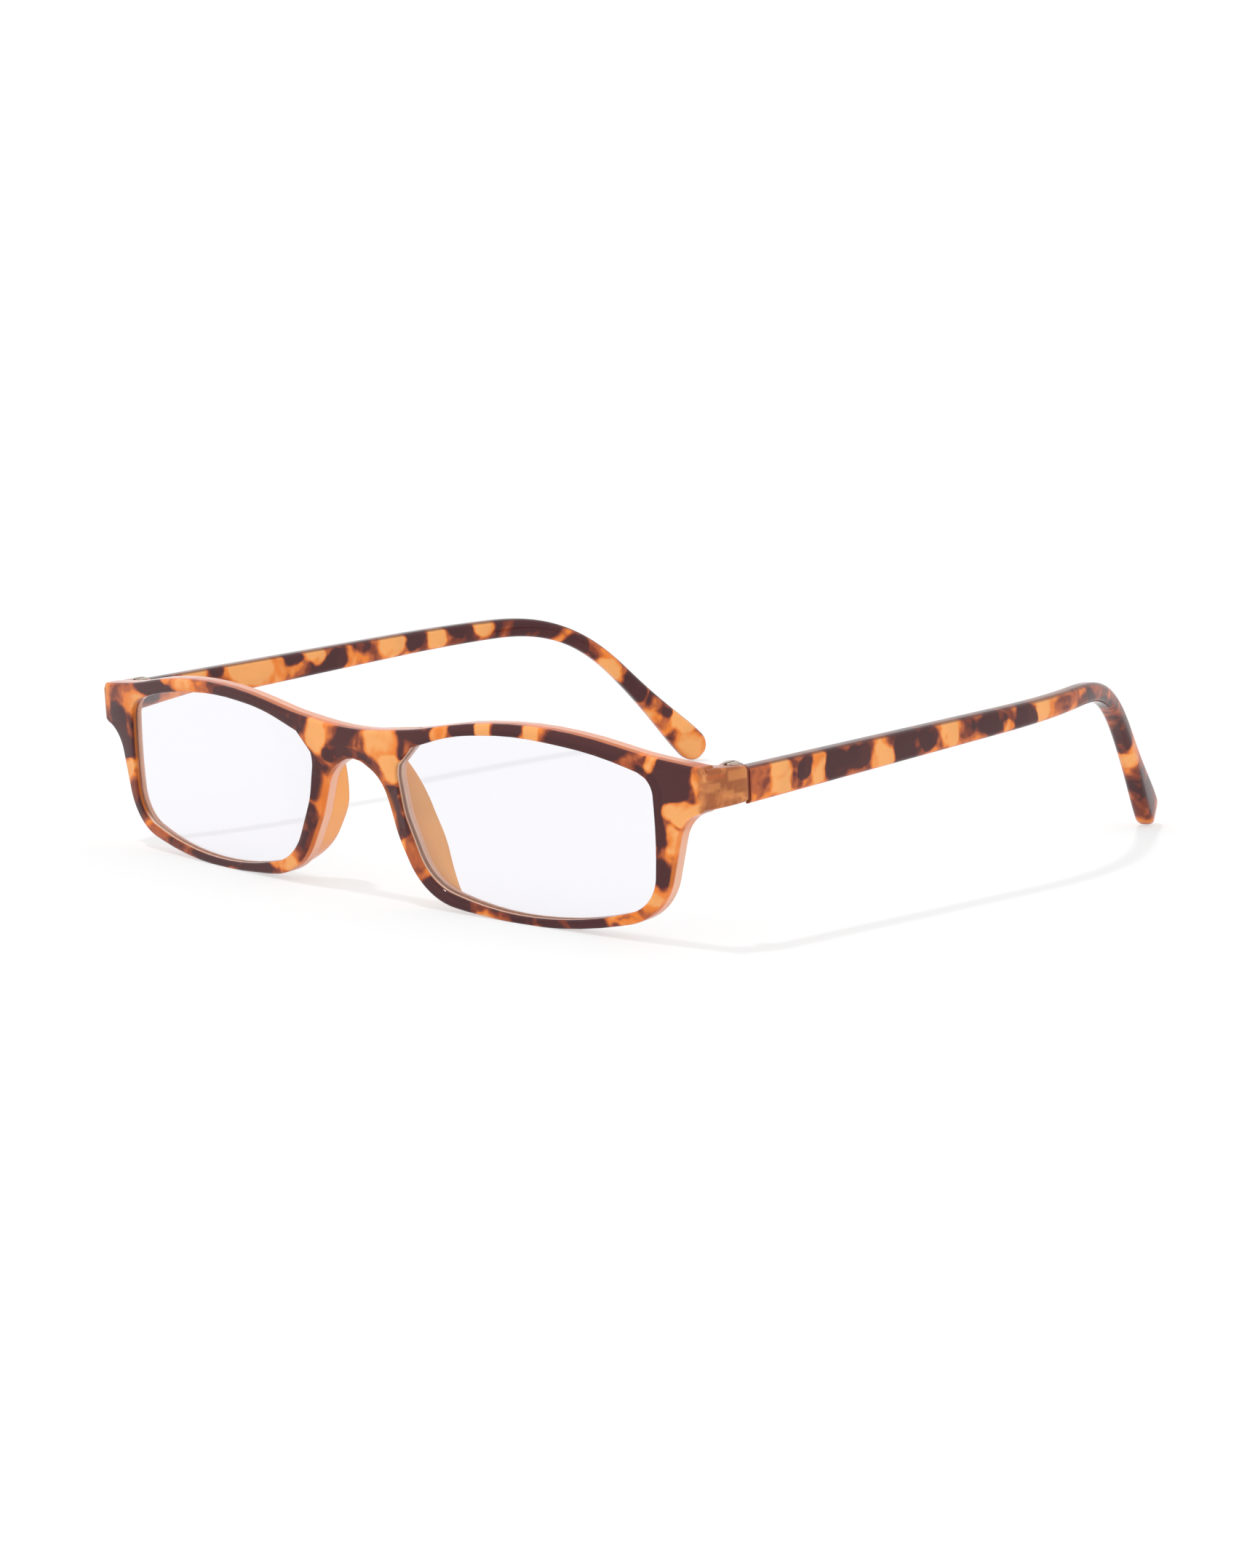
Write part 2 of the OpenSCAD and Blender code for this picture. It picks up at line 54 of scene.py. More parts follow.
# End piece, with the joint that the temple meets, and the pocket and block behind the face
SIDE_OUT, JOINT_Y, HINGE_Z, CORNER_H, JOINT_H, JOINT_GAP = 2.0, 13.7, 7.8, 6.45, 5.3, 0.25
POCKET_Y, POCKET_W, BLOCK_Y, BLOCK_THIN, BLOCK_IN, BLOCK_BOW = 8.4, 2.0, 1.1, 1.2, 0.15, 1.5
# Fork, tongue and screw of a hinge
EAR_R, TONGUE_H, TONGUE_ROOM, EAR_ROOM, ROOT_L, AXIS_IN = 1.8, 1.7, 0.1, 0.25, 0.6, 0.45
SCREW_R, HEAD_R, HEAD_H, HEAD_SUNK, SLOT_W, SCREW_IN = 0.7, 1.2, 0.7, 0.4, 0.35, 0.3
EAR_CUT, SCREW_CUT = 0.25, 0.12
BORE_FIT, SEAT_FIT = 0.05, 0.02
# Temple: its length, heights and thicknesses, then where it leans in and drops, and by what angles
TEMPLE_L, HEIGHT_JOINT, HEIGHT_WAIST, HEIGHT_TIP, TEMPLE_DROP = 136.6, 5.4, 3.0, 5.8, 0.35
THICK_JOINT, THICK_TIP, EDGE_JOINT, EDGE_TIP = 2.9, 3.2, 0.8, 1.2
SPLAY, FALL, WAIST_AT = 0.6, 1.0, 100.0
LEAN_FROM, LEAN_L, LEAN, BEND_FROM, BEND_L, BEND = 56.0, 44.0, 20.7, 80.5, 34.5, 46.3
# Round tip: its length as a share of its height, the turn that closes it, and how its thickness falls
TIP_SHARE, TIP_TURN, TIP_THINNING = 0.55, 87.0, 0.7
# How the upright design stands at rest
TILT, LIFT, MIDDLE_Y = 3.92967, 15.0363, 69.0622

EYE_X, EYE_Z = (BRIDGE_GAP + OPEN_W) / 2, -0.5
OPEN_TOP, OPEN_LOW, OPEN_OUT = EYE_Z + OPEN_H / 2, EYE_Z - OPEN_H / 2, EYE_X + OPEN_W / 2
FRONT_HALF = OPEN_OUT + END_W
SIDE_X = FRONT_HALF + SIDE_OUT
CORNER_TOP, CORNER_LOW = HINGE_Z + CORNER_H / 2, HINGE_Z - CORNER_H / 2
JOINT_TOP, JOINT_LOW = HINGE_Z + JOINT_H / 2, HINGE_Z - JOINT_H / 2
AXIS_X, AXIS_Y = SIDE_X - THICK_JOINT, JOINT_Y - AXIS_IN
SLOT_LOW, SLOT_HIGH = HINGE_Z - TONGUE_H / 2 - TONGUE_ROOM, HINGE_Z + TONGUE_H / 2 + TONGUE_ROOM
HEAD_Z = JOINT_TOP - HEAD_SUNK

# How far cutters reach past a face, how deep joined solids overlap, a hair's breadth and the least radius
PAST, STEP, HAIR, LEAST_R = 1.0, 0.02, 0.01, 0.1
# Degrees between the points of an arc, and of a fin's arc
ARC_STEP, FIN_ARC_STEP = 3.0, 2.0
# Degrees between rays round an opening, the least that two are apart, and the slack at a turn's ends
TURN_STEP, TURN_APART, TURN_END, ALMOST_FULL = 1.5, 0.12, 0.05, 359.999
# Distance within which points are on the middle line, and within which they are one
ON_MIDDLE, WELD = 1e-3, 1e-4
# Points of a quarter round, sides of the turned bodies, and loops of the lofts
ROUND_POINTS, DRUM_SIDES, SCREW_SIDES, BORE_SIDES, HOLLOW_SIDES = 6, 96, 72, 48, 240
END_LOOPS, LENS_RINGS, TEMPLE_LOOPS, TIP_LOOPS = 25, 14, 140, 20
# Share of a rounded edge's size that is gone at its middle, and of a lens's size at its innermost ring
ROUND_MID, LENS_CORE = 0.3, 0.04
HUB = np.array([EYE_X, EYE_Z])
# Point in the opening from which rays meet both outlines of a rim once
SIGHT = np.array([EYE_X, ARCH_Z])
REST = (Matrix.Translation((0, -MIDDLE_Y * MM, LIFT * MM)) @ Matrix.Rotation(math.radians(TILT), 4, "X")
        @ Matrix.Scale(MM, 4))


def unit(v):
    return v / np.linalg.norm(v)


def ease(t):
    u = min(1.0, max(0.0, t))
    return u * u * (3 - 2 * u)


def mix(a, b, t):
    return a + (b - a) * t


def linked(obj):
    bpy.context.scene.collection.objects.link(obj)
    return obj


# Outlines
def corner(a, b, c, r, step=ARC_STEP):
    """Arc that rounds corner b between a and c."""
    u, v = unit(a - b), unit(c - b)
    half = math.acos(float(u @ v)) / 2
    mid = b + unit(u + v) * r / math.sin(half)
    arm = b + u * r / math.tan(half) - mid
    whole = (2 * half - math.pi) * np.sign(u[0] * v[1] - u[1] * v[0])
    n = 2 * max(1, math.ceil(abs(math.degrees(whole)) / step / 2))
    across = np.array([-arm[1], arm[0]])
    return [mid + arm * math.cos(t) + across * math.sin(t) for t in np.linspace(0, whole, n + 1)]


def rounded(corners):
    """Outline with every corner [x, z, radius] rounded."""
    points, n = [], len(corners)
    for i in range(n):
        a, b, c = (np.array(corners[(i + k) % n][:2]) for k in (-1, 0, 1))
        points += corner(a, b, c, corners[i][2])
    return np.array(points)


def grown(corners, d):
    """Corners of the outline that lies d outside a clockwise one."""
    out, n = [], len(corners)
    for i in range(n):
        a, b, c = (np.array(corners[(i + k) % n][:2]) for k in (-1, 0, 1))
        u, v = unit(a - b), unit(c - b)
        side = np.sign(u[0] * v[1] - u[1] * v[0])
        p = b - unit(u + v) * side * d / math.sin(math.acos(float(u @ v)) / 2)
        out.append((p[0], p[1], max(LEAST_R, corners[i][2] + side * d)))
    return out


# Corners of an opening, clockwise, as shares of its half width and height, each with its radius
OPENING = [(-1.03, 0.64, 4.7), (-0.53, 0.93, 40), (-0.03, 1.02, 60), (0.59, 0.91, 60),
           (0.98, 0.70, 3.6), (1.00, 0.01, 80), (0.97, -0.70, 6.4), (0.52, -0.95, 60),
           (-0.18, -1.04, 60), (-0.77, -0.79, 9.6), (-0.96, -0.03, 13.3)]
eye = [(EYE_X + a * OPEN_W / 2, EYE_Z + b * OPEN_H / 2, r) for a, b, r in OPENING]
# Corners of half the front, clockwise from the top of the bridge
outer = [(0, ARCH_Z + BRIDGE_H - 0.3, 60),
         (BRIDGE_GAP / 2 + 4.1, OPEN_TOP - 0.7, 60),
         (EYE_X + 2.3, OPEN_TOP + RIM_TOP + 1.6, 81),
         (FRONT_HALF - 10.5, CORNER_TOP + 1.25, 60),
         (FRONT_HALF, CORNER_TOP, 0.8),
         (FRONT_HALF, CORNER_LOW, 0.6),
         (OPEN_OUT + RIM_SIDE + 1.6, CORNER_LOW - 0.8, 5.8),
         (OPEN_OUT + RIM_SIDE - 2.1, OPEN_LOW + 2.2, 9.5),
         (EYE_X + 6.5, OPEN_LOW - RIM_BOTTOM - 0.6, 76),
         (EYE_X - 11.6, OPEN_LOW - RIM_BOTTOM + 0.7, 30),
         (BRIDGE_GAP / 2 - RIM_NOSE + 7.6, OPEN_LOW + 0.3, 11.9),
         (BRIDGE_GAP / 2 - RIM_NOSE + 2.1, -3.6, 12.6),
         (BRIDGE_GAP / 2 - RIM_NOSE - 0.5, ARCH_Z - 2.5, 6.9),
         (0, ARCH_Z + 0.6, 5.2)]
whole_outer = outer + [(-x, z, r) for x, z, r in outer[-2:0:-1]]


def face_y(x):
    """Depth of the curved face."""
    return FRONT_R - np.sqrt(FRONT_R ** 2 - np.asarray(x) ** 2)


def tangent_y(x):
    """Depth of the plane that touches the face at the middle of an opening."""
    return face_y(EYE_X) + (np.asarray(x) - EYE_X) * math.tan(math.asin(EYE_X / FRONT_R))


def back_y(p):
    return tangent_y(p[..., 0]) + LENS_IN + LENS_T


def dome_y(p):
    d2 = ((p - HUB) ** 2).sum(-1)
    return tangent_y(p[..., 0]) + LENS_IN + LENS_R - np.sqrt(LENS_R ** 2 - d2)


def right_half(d):
    """Half of the front's outline at +X, grown by d."""
    line = rounded(grown(whole_outer, d)) if d else rounded(whole_outer)
    line = line[line[:, 0] > -ON_MIDDLE]
    line[:, 0] = np.maximum(line[:, 0], 0)
    return line


def eye_at(d):
    """Opening at +X, grown by d, from the point that faces the middle of the bridge."""
    line = rounded(grown(eye, d)) if d else rounded(eye)
    return np.roll(line, -first_eye, axis=0)


def bearings(line, start):
    """Clockwise turn, in degrees, of each point as seen from the opening's point of sight."""
    rays, first = line - SIGHT, start - SIGHT
    a = np.degrees(np.arctan2(first[1], first[0]) - np.arctan2(rays[:, 1], rays[:, 0]))
    return np.where(a % 360 > ALMOST_FULL, 0, a % 360)


def places(line, turns, b, closed):
    """Segment and share at which rays at bearings b meet an outline."""
    if closed:
        line = np.vstack([line[-1:], line, line[:1]])
        turns = np.concatenate([[turns[-1] - 360], turns, [turns[0] + 360]])
    k = np.clip(np.searchsorted(turns, b, side="right") - 1, 0, len(turns) - 2)
    r = np.linalg.norm(line - SIGHT, axis=1)
    s = np.sin(np.radians(b - turns[k])) * r[k]
    q = np.sin(np.radians(turns[k + 1] - b)) * r[k + 1]
    return k, s / (s + q)


def at(line, place, closed):
    """Points of an outline at the segments and shares that places() gives."""
    if closed:
        line = np.vstack([line[-1:], line, line[:1]])
    k, t = place
    return line[k] + (line[k + 1] - line[k]) * t[:, None]


# Mesh making
def made(name, verts, faces):
    """Mesh object from points of the design frame, in millimetres."""
    mesh = bpy.data.meshes.new(name)
    mesh.from_pydata(np.asarray(verts, float).tolist(), [], [tuple(int(i) for i in f) for f in faces])
    bm = bmesh.new()
    bm.from_mesh(mesh)
    bmesh.ops.remove_doubles(bm, verts=bm.verts, dist=WELD)
    bmesh.ops.recalc_face_normals(bm, faces=bm.faces)
    if bm.calc_volume(signed=True) < 0:
        bmesh.ops.reverse_faces(bm, faces=bm.faces)
    bm.to_mesh(mesh)
    bm.free()
    return linked(bpy.data.objects.new(name, mesh))


def loft(name, loops):
    """Solid through loops of equally many points, closed by its first and last loop."""
    n, m = len(loops[0]), len(loops)
    faces = [(k * n + i, k * n + (i + 1) % n, (k + 1) * n + (i + 1) % n, (k + 1) * n + i)
             for k in range(m - 1) for i in range(n)]
    faces += [tuple(range(n))[::-1], tuple(range((m - 1) * n, m * n))]
    return made(name, [p for loop in loops for p in loop], faces)


def drum(name, rings, sides=DRUM_SIDES):
    """Upright turned body about the right hinge's axis: rings of [radius, height]."""
    loops = [[(AXIS_X + r * math.cos(a), AXIS_Y + r * math.sin(a), z)
              for a in np.linspace(0, 2 * math.pi, sides, endpoint=False)] for r, z in rings]
    return loft(name, loops)


def block(name, low, high):
    x0, y0, z0 = low
    x1, y1, z1 = high
    return loft(name, [[(x0, y0, z), (x1, y0, z), (x1, y1, z), (x0, y1, z)] for z in (z0, z1)])


def join_solid(target, tools, operation):
    for tool in tools:
        mod = target.modifiers.new("cut", "BOOLEAN")
        mod.operation, mod.object, mod.solver = operation, tool, "EXACT"
    depsgraph = bpy.context.evaluated_depsgraph_get()
    mesh = bpy.data.meshes.new_from_object(target.evaluated_get(depsgraph))
    target.modifiers.clear()
    old, target.data = target.data, mesh
    bpy.data.meshes.remove(old)
    for tool in tools:
        bpy.data.objects.remove(tool)
    return target


def mirrored(obj, name):
    """Mirror image of an object across the middle of the glasses."""
    twin = linked(obj.copy())
    twin.data = obj.data.copy()
    twin.name = name
    twin.data.transform(Matrix.Scale(-1, 4, Vector((1, 0, 0))))
    twin.data.flip_normals()
    return twin


def both(obj):
    return [obj, mirrored(obj, obj.name + "_twin")]


def built(obj, material, body, *nodes, smooth=35):
    obj.data.transform(REST)
    obj.data.materials.clear()
    obj.data.materials.append(material)
    for poly in obj.data.polygons:
        poly.use_smooth = True
    obj.data.set_sharp_from_angle(angle=math.radians(smooth))
    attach(obj, body)
    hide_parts(*nodes)
    return obj


# Front
edge = right_half(0)
start = edge[0]
raw_eye = rounded(eye)
first_eye = int(np.argmin(bearings(raw_eye, start)))
edge_turns, eye_turns = bearings(edge, start), bearings(eye_at(0), start)
end_turn = edge_turns[-1]
turns = np.concatenate([edge_turns, eye_turns, np.arange(0, end_turn, TURN_STEP)])
turns = np.unique(np.round(turns[(turns > TURN_END) & (turns < end_turn - TURN_END)], 3))
turns = np.concatenate([[0], turns[np.concatenate([[True], np.diff(turns) > TURN_APART])], [end_turn]])
on_edge, on_eye = places(edge, edge_turns, turns, False), places(eye_at(0), eye_turns, turns, True)


def outer_at(d):
    return at(right_half(-d), on_edge, False)


def inner_at(d):
    return at(eye_at(d), on_eye, True)


def rims():
    """Both rims and the bridge as one mesh, with rounded edges and the lens grooves."""
    rows = []

    def add(p, y):
        rows.append(np.stack([p[:, 0], y, p[:, 1]], axis=1))

    round_steps = np.radians(np.linspace(0, 90, ROUND_POINTS))
    for a in round_steps:
        p = outer_at(EDGE_CUT * (1 - math.sin(a)))
        add(p, face_y(p[:, 0]) + EDGE_CUT * (1 - math.cos(a)))
    for a in round_steps[::-1]:
        p = outer_at(EDGE_CUT * (1 - math.sin(a)))
        add(p, face_y(p[:, 0]) + FRONT_T - EDGE_CUT * (1 - math.cos(a)))
    bridge_rows = len(rows) - 1
    lip, deep = inner_at(0), inner_at(GROOVE_D)
    for a in np.radians([0, 45, 90]):
        p = inner_at(BACK_CUT * (1 - math.sin(a)))
        add(p, face_y(p[:, 0]) + FRONT_T - BACK_CUT * (1 - math.cos(a)))
    rear, front = back_y(deep) + LENS_FIT, dome_y(deep) - LENS_FIT
    add(lip, rear)
    add(deep, rear)
    add(deep, front)
    add(lip, front)
    for a in round_steps[::-1]:
        p = inner_at(OPEN_CUT * (1 - math.sin(a)))
        add(p, face_y(p[:, 0]) + OPEN_CUT * (1 - math.cos(a)))
    # The outer rows end on the middle line, where the twin half joins them. The opening's rows go all round
    n, m = len(rows), len(turns)
    verts = np.array(rows).transpose(1, 0, 2).reshape(-1, 3)
    faces = [(k * n + i, k * n + (i + 1) % n, (k + 1) % m * n + (i + 1) % n, (k + 1) % m * n + i)
             for k in range(m) for i in range(n) if k < m - 1 or i >= bridge_rows]
    twin = verts * np.array([-1, 1, 1])
    faces += [tuple(i + m * n for i in f[::-1]) for f in faces]
    return made("front", np.vstack([verts, twin]), faces)


def pad():
    """Nose fin at +X, from the arch down along the rim, leaning out and longest at its middle."""
    top = np.array([BRIDGE_GAP / 2 - RIM_NOSE - PAD_TOP_IN, ARCH_Z + PAD_TOP_UP])
    mid, low, end = (np.array(outer[k][:2]) for k in (-3, -4, -5))
    bow = corner(top, mid, low, outer[-3][2], FIN_ARC_STEP)
    foot = corner(mid, low, end, outer[-4][2], FIN_ARC_STEP)
    line = [mix(top, bow[0], k / 12) for k in range(12)] + bow
    line += [mix(bow[-1], foot[0], k / 8) for k in range(1, 8)] + foot
    run = np.concatenate([[0], np.cumsum(np.linalg.norm(np.diff(line, axis=0), axis=1))])
    foot_y, sunk = FRONT_T - PAD_ROOT + PAD_EDGE, FRONT_T - STEP
    bend = np.radians(np.linspace(0, 90, ROUND_POINTS))
    loops = []
    for k, p in enumerate(line):
        u = 2 * run[k] / run[-1] - 1
        d = unit(line[min(len(line) - 1, k + 1)] - line[max(0, k - 1)])
        out = np.array([-d[1], d[0]])
        rear = max(sunk, mix(PAD_REACH, sunk, u * u) - face_y(p[0]) * (1 - u * u))
        lean = math.tan(math.radians(PAD_FLARE)) * max(0, rear - FRONT_T)
        w = PAD_T * math.sqrt(1 - PAD_THINNING * u * u)
        section = [(PAD_EDGE, FRONT_T - PAD_ROOT), (0, foot_y)]
        section += [(mix(0, lean, t), mix(foot_y, rear - PAD_EDGE, t)) for t in (0.25, 0.5, 0.75)]
        e = min(PAD_EDGE * PAD_ROUND, w / 2 - HAIR)
        section += [(lean + e * (1 - math.cos(a)), rear - PAD_EDGE * (1 - math.sin(a))) for a in bend]
        section += [(lean + w - e * (1 - math.cos(a)), rear - PAD_EDGE * (1 - math.sin(a)))
                    for a in bend[::-1]]
        section += [(w + mix(0, lean, t), mix(foot_y, rear - PAD_EDGE, t)) for t in (0.75, 0.5, 0.25)]
        section += [(w, foot_y), (w - PAD_EDGE, FRONT_T - PAD_ROOT)]
        loop = []
        for q, depth in section:
            x = p[0] + out[0] * (q + PAD_STEP)
            loop.append((x, float(face_y(x)) + depth, p[1] + out[1] * (q + PAD_STEP)))
        loops.append(loop)
    return loft("pad", loops)


def ring(w, h, r, steps=7):
    """Rounded rectangle about the origin, with corners of radius r."""
    out = []
    for q in range(4):
        for a in np.radians(np.linspace(90 * q, 90 * (q + 1), steps)):
            out.append(((1 if q in (0, 3) else -1) * (w / 2 - r) + r * math.cos(a),
                        (1 if q < 2 else -1) * (h / 2 - r) + r * math.sin(a)))
    return out


def end_piece():
    """Block at +X that turns back from the corner of the front to the joint."""
    from_y, extra = float(face_y(FRONT_HALF)) + BLOCK_Y, END_W - THICK_JOINT - BLOCK_THIN
    loops = []
    for t in np.linspace(0, 1, END_LOOPS):
        x = mix(FRONT_HALF - BLOCK_IN, SIDE_X, 1 - (1 - t) ** BLOCK_BOW)
        w, h = THICK_JOINT + extra * (1 - t) ** 2, mix(CORNER_H - 2 * BLOCK_IN, JOINT_H, t)
        loops.append([(x - w / 2 + p, mix(from_y, JOINT_Y, t), HINGE_Z + q)
                      for p, q in ring(w, h, mix(EDGE_CUT, EDGE_JOINT, t))])
    return loft("end", loops)


def ears():
    r, low, high, e = EAR_R, JOINT_LOW + STEP, JOINT_TOP - STEP, EAR_CUT
    soft = ROUND_MID * e
    return drum("ears", [(r - e, low), (r - soft, low + soft), (r, low + e), (r, high - e),
                         (r - soft, high - soft), (r - e, high)])


def bore(fit):
    r = SCREW_R + fit
    return drum("bore", [(r, JOINT_LOW - PAST), (r, JOINT_TOP + PAST)], BORE_SIDES)


def hollow():
    """Shallow cone that cuts the hollow round the arch of the bridge into the face."""
    rise, z0 = math.tan(math.radians(HOLLOW_SLOPE)), ARCH_Z + HOLLOW_IN - HOLLOW_R
    turn = np.linspace(0, 2 * math.pi, HOLLOW_SIDES, endpoint=False)
    loops = [[(r * math.cos(a), y, z0 + r * math.sin(a)) for a in turn]
             for r, y in ((HOLLOW_R + PAST / rise, -PAST), (SEAT_FIT, HOLLOW_R * rise))]
    return loft("hollow", loops)


def front_piece():
    body = rims()
    join_solid(body, both(end_piece()) + both(pad()), "UNION")
    join_solid(body, both(ears()), "UNION")
    room = EAR_R + EAR_ROOM
    cuts = both(drum("slot", [(room, SLOT_LOW), (room, SLOT_HIGH)]))
    cuts += both(block("pocket", (AXIS_X - POCKET_W / 2, POCKET_Y, SLOT_LOW),
                       (AXIS_X + POCKET_W / 2, AXIS_Y, SLOT_HIGH)))
    cuts += both(drum("seat", [(HEAD_R + SEAT_FIT, HEAD_Z), (HEAD_R + SEAT_FIT, JOINT_TOP + PAST)]))
    cuts += both(bore(SEAT_FIT))
    cuts.append(hollow())
    return join_solid(body, cuts, "DIFFERENCE")


def lens():
    """Plano-convex lens in the opening at +X."""
    line = rounded(grown(eye, GROOVE_D - LENS_FIT))
    n, shares = len(line), np.linspace(1, LENS_CORE, LENS_RINGS)
    verts, faces = [], []
    for side in (back_y, dome_y):
        for share in shares:
            p = HUB + (line - HUB) * share
            verts += [(x, y, z) for (x, z), y in zip(p, side(p))]
        verts.append((EYE_X, float(side(HUB)), EYE_Z))
    per = n * len(shares) + 1
    for s in (0, 1):
        base = s * per
        for k in range(len(shares) - 1):
            faces += [(base + k * n + i, base + k * n + (i + 1) % n, base + (k + 1) * n + (i + 1) % n,
                       base + (k + 1) * n + i) for i in range(n)]
        last = base + (len(shares) - 1) * n
        faces += [(last + i, last + (i + 1) % n, base + per - 1) for i in range(n)]
    faces += [(i, (i + 1) % n, per + (i + 1) % n, per + i) for i in range(n)]
    return made("lens", verts, faces)


# Temples and screws
def heading(s):
    """Turn of the temple out from straight back, at a distance s along it."""
    return math.radians(SPLAY - LEAN * ease((s - LEAN_FROM) / LEAN_L))


def slope(s):
    return math.radians(-FALL - BEND * ease((s - BEND_FROM) / BEND_L))


def height(s):
    """Height of the temple, which narrows to its waist and widens late, up to the round tip."""
    if s < WAIST_AT:
        return mix(HEIGHT_JOINT, HEIGHT_WAIST, s / WAIST_AT)
    u = min(1, (s - WAIST_AT) / (TEMPLE_L - TIP_SHARE * HEIGHT_TIP - WAIST_AT))
    return HEIGHT_WAIST + (HEIGHT_TIP - HEIGHT_WAIST) * u ** 5 * (6 - 5 * u)


def forward(s):
    return np.array([math.cos(slope(s)) * math.sin(heading(s)), math.cos(slope(s)) * math.cos(heading(s)),
                     math.sin(slope(s))])


def temple_body():
    tip, turn = TIP_SHARE * HEIGHT_TIP, np.radians(np.linspace(0, TIP_TURN, TIP_LOOPS + 1)[1:])
    straight = np.linspace(0, TEMPLE_L - tip, TEMPLE_LOOPS)
    lengths = np.concatenate([straight, TEMPLE_L - tip + tip * np.sin(turn)])
    shares = np.concatenate([np.ones(len(straight)), np.cos(turn)])
    p, loops = np.array([SIDE_X - THICK_JOINT / 2, JOINT_Y, HINGE_Z - TEMPLE_DROP]), []
    for k, (s, f) in enumerate(zip(lengths, shares)):
        if k:
            p = p + (s - lengths[k - 1]) * forward((s + lengths[k - 1]) / 2)
        across = np.array([math.cos(heading(s)), -math.sin(heading(s)), 0])
        up = np.cross(across, forward(s))
        w = mix(THICK_JOINT, THICK_TIP, s / TEMPLE_L)
        loops.append([p + across * a * f ** TIP_THINNING + up * b * f
                      for a, b in ring(w, height(s), mix(EDGE_JOINT, EDGE_TIP, s / TEMPLE_L))])
    body = loft("temple", loops)
    room = EAR_R + EAR_ROOM
    gap = block("gap", (AXIS_X - SIDE_X / 2, JOINT_Y - PAST, 0),
                (AXIS_X + SIDE_X / 2, JOINT_Y + JOINT_GAP, 2 * SIDE_X))
    ear_space = drum("ear_space", [(room, JOINT_LOW - PAST), (room, JOINT_TOP + PAST)])
    join_solid(body, [gap, ear_space], "DIFFERENCE")
    low, high = HINGE_Z - TONGUE_H / 2, HINGE_Z + TONGUE_H / 2
    root = block("root", (AXIS_X, AXIS_Y, low + STEP / 2),
                 (AXIS_X + EAR_R, AXIS_Y + EAR_R + EAR_ROOM + ROOT_L, high - STEP / 2))
    join_solid(body, [drum("tongue", [(EAR_R, low), (EAR_R, high)]), root], "UNION")
    return join_solid(body, [bore(BORE_FIT)], "DIFFERENCE")


def screw():
    e, low, top = SCREW_CUT, JOINT_LOW + SCREW_IN, HEAD_Z + HEAD_H
    soft = ROUND_MID * e
    body = drum("screw", [(SCREW_R - e, low), (SCREW_R, low + e), (SCREW_R, HEAD_Z), (HEAD_R, HEAD_Z),
                          (HEAD_R, top - e), (HEAD_R - soft, top - soft), (HEAD_R - e, top)], SCREW_SIDES)
    slot = block("slot", (AXIS_X - SLOT_W / 2, AXIS_Y - 2 * HEAD_R, HEAD_Z + HEAD_H / 2),
                 (AXIS_X + SLOT_W / 2, AXIS_Y + 2 * HEAD_R, top + PAST))
    return join_solid(body, [slot], "DIFFERENCE")


# Materials
# Tones of the plastic, as it shows on a white table
DARK = (0.070, 0.017, 0.019)
BROWN = (0.22, 0.040, 0.018)
RUST = (0.54, 0.125, 0.034)
AMBER = (0.93, 0.25, 0.03)
HONEY = (1.0, 0.45, 0.14)
PEACH = (0.95, 0.56, 0.40)
CLEAR_AMBER = (1.0, 0.46, 0.13)
SLOT_LIGHT, SLOT_DARK = (0.72, 0.27, 0.085), (0.40, 0.12, 0.04)
HINGE_TONES = [(0.42, SLOT_DARK), (0.54, (0.56, 0.19, 0.06)), (0.72, (0.85, 0.34, 0.11))]
# Pale tone of a lens's edge: partly its own ground edge, partly a painted reflection
LENS_EDGE_AND_REFLECTION = (1.0, 0.80, 0.66)
# Tones of the screw: steel, with a painted reflection of the plastic around it
STEEL_AND_REFLECTION_TONES = [(0.35, (0.40, 0.31, 0.25)), (0.65, (0.58, 0.48, 0.41))]
# Shapes that show through the end piece: span in y, span in z, and tone
HINGE_SHAPES = [
    (7.0, 9.0, 7.7, 8.7, SLOT_LIGHT), (6.6, 8.3, 4.9, 7.4, SLOT_DARK), (9.4, 11.0, 6.2, 7.4, SLOT_LIGHT),
    (6.8, 9.6, 9.4, 9.9, RUST), (10.2, 13.4, 8.7, 10.2, SLOT_LIGHT),
    (11.0, 13.4, SLOT_LOW, SLOT_HIGH, SLOT_DARK)]
# Tone of the plastic where one looks into it behind the face's edge, and how much of it shows
LIP_TONE, LIP_SHARE = (0.90, 0.22, 0.012), 0.65
# Tint of the plastic at a grazing view, where more of it is looked through
RIM_TINT = (0.7, 0.36, 0.2)
# Tints of a lens: of what is seen through it, of its shadow, and its edge's lighter tone, which holds a
# painted reflection as well
LENS_TINT, LENS_SHADE, LENS_EDGE_AND_REFLECTION_LIGHT = (0.93, 0.925, 0.962), (0.95, 0.95, 0.97), (1.0, 0.86, 0.75)
# Noise per millimetre: of the clouds, the sway of the patches, the fine grain, the bumps and the end piece
CLOUD_SCALE, SWAY_SCALE, FINE_SCALE, BUMP_SCALE, HINGE_SCALE = 0.13, 0.16, 0.9, 1.2, 0.4
# Strengths of the clouds, of a patch and of the fine grain, and how far the patches sway in millimetres
CLOUD_SHARE, PATCH_SHARE, FINE_SHARE, SWAY = 1.5, 0.4, 0.16, 3.6
# Where a patch's edge begins and ends, as shares of its size
PATCH_EDGE = (0.75, 1.25)
# The clouds' level on the front and on the temples, and the pattern's tones from its lowest level up
FRONT_LEVEL, TEMPLE_LEVEL = -0.37, -0.29
PATTERN = [(0.20, DARK), (0.31, BROWN), (0.43, RUST), (0.52, AMBER), (0.72, HONEY)]
# Depths behind the face from which the lip's tone, the pale backs and the fins begin
LIP_DEPTH, BACK_DEPTH, FIN_DEPTH = (0.3, 0.6), (1.3, 1.7), (FRONT_T - 0.5, FRONT_T + 0.3)
